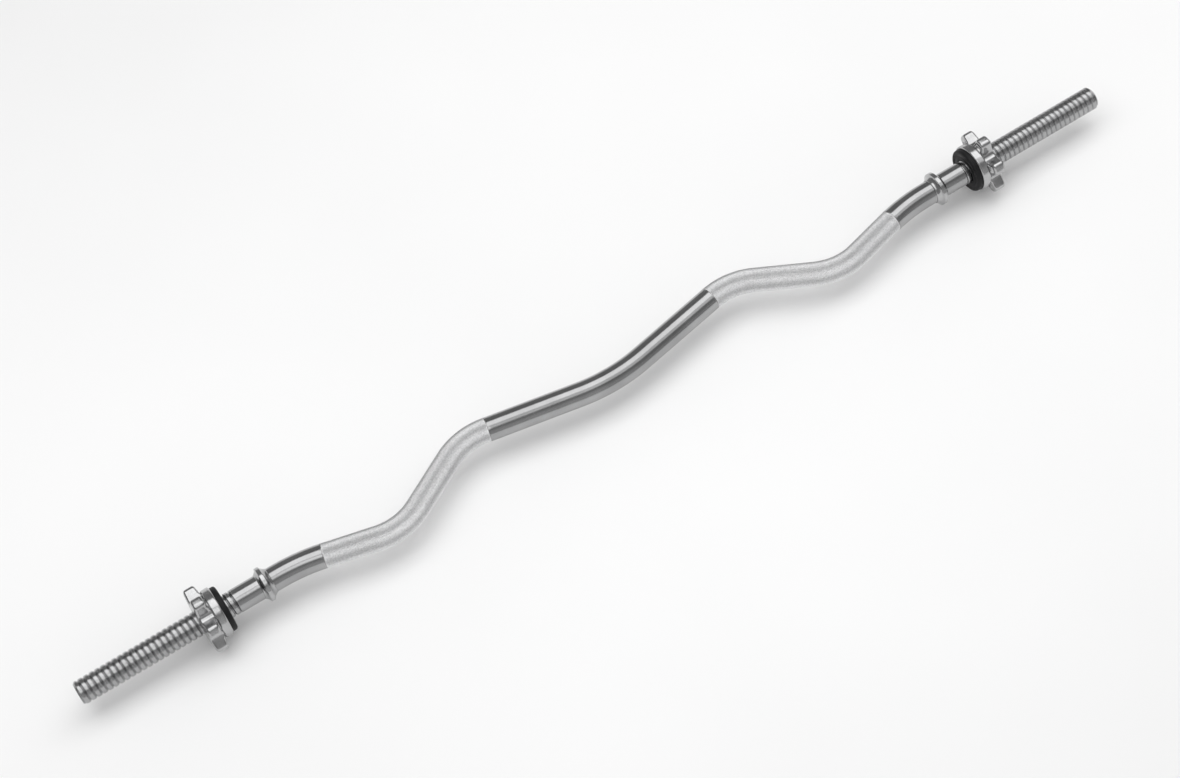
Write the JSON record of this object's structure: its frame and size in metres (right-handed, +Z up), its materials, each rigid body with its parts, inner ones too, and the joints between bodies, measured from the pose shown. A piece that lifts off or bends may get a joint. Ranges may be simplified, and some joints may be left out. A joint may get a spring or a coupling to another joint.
{
  "type": "ez curl bar",
  "caption": "Wavy chrome-plated curl bar with knurled angled grips, fixed inner collars, threaded ends and screw-on star nuts that clamp weight plates against rubber rings.",
  "frame": {"origin": "on the floor under the middle of the bar, at the centre of the box around it", "axes": "+X along the bar towards the right sleeve, +Y in the plane of the bends on the side of the inner bends, +Z up from the floor"},
  "size_m": [1.2, 0.0731, 0.068],
  "materials": {
    "bar_chrome": "polished chrome plating, satin where the grips are knurled",
    "collar_chrome": "polished chrome plating",
    "nut_chrome": "chrome plating over a casting with soft edges",
    "black_rubber": "moulded black rubber, slightly shiny"
  },
  "bodies": {
    "bar": {"grip_bar": "bar_chrome", "left_threaded_end": "bar_chrome", "right_threaded_end": "bar_chrome", "left_inner_collar": "collar_chrome", "right_inner_collar": "collar_chrome"},
    "left_ring": {"left_rubber_ring": "black_rubber"},
    "left_nut": {"left_star_nut": "nut_chrome"},
    "right_ring": {"right_rubber_ring": "black_rubber"},
    "right_nut": {"right_star_nut": "nut_chrome"}
  },
  "joints": [
    {"name": "left_nut_travel", "type": "slide", "parent": "bar", "child": "left_ring", "axis": [-1, 0, 0], "range_m": [-0.0142, 0.1622]},
    {"name": "left_nut_spin", "type": "hinge", "parent": "left_ring", "child": "left_nut", "pos_m": [-0.455, -0.00161, 0.034], "axis": [-1, 0, 0], "range_deg": [-840, 9720]},
    {"name": "right_nut_travel", "type": "slide", "parent": "bar", "child": "right_ring", "axis": [1, 0, 0], "range_m": [-0.0092, 0.1682]},
    {"name": "right_nut_spin", "type": "hinge", "parent": "right_ring", "child": "right_nut", "pos_m": [0.455, -0.00161, 0.034], "axis": [1, 0, 0], "range_deg": [-540, 10080]}
  ],
  "couplings": [
    {"joint": "left_nut_travel", "follows": "left_nut_spin", "m_per_rad": 0.00095493},
    {"joint": "right_nut_travel", "follows": "right_nut_spin", "m_per_rad": 0.00095493}
  ]
}
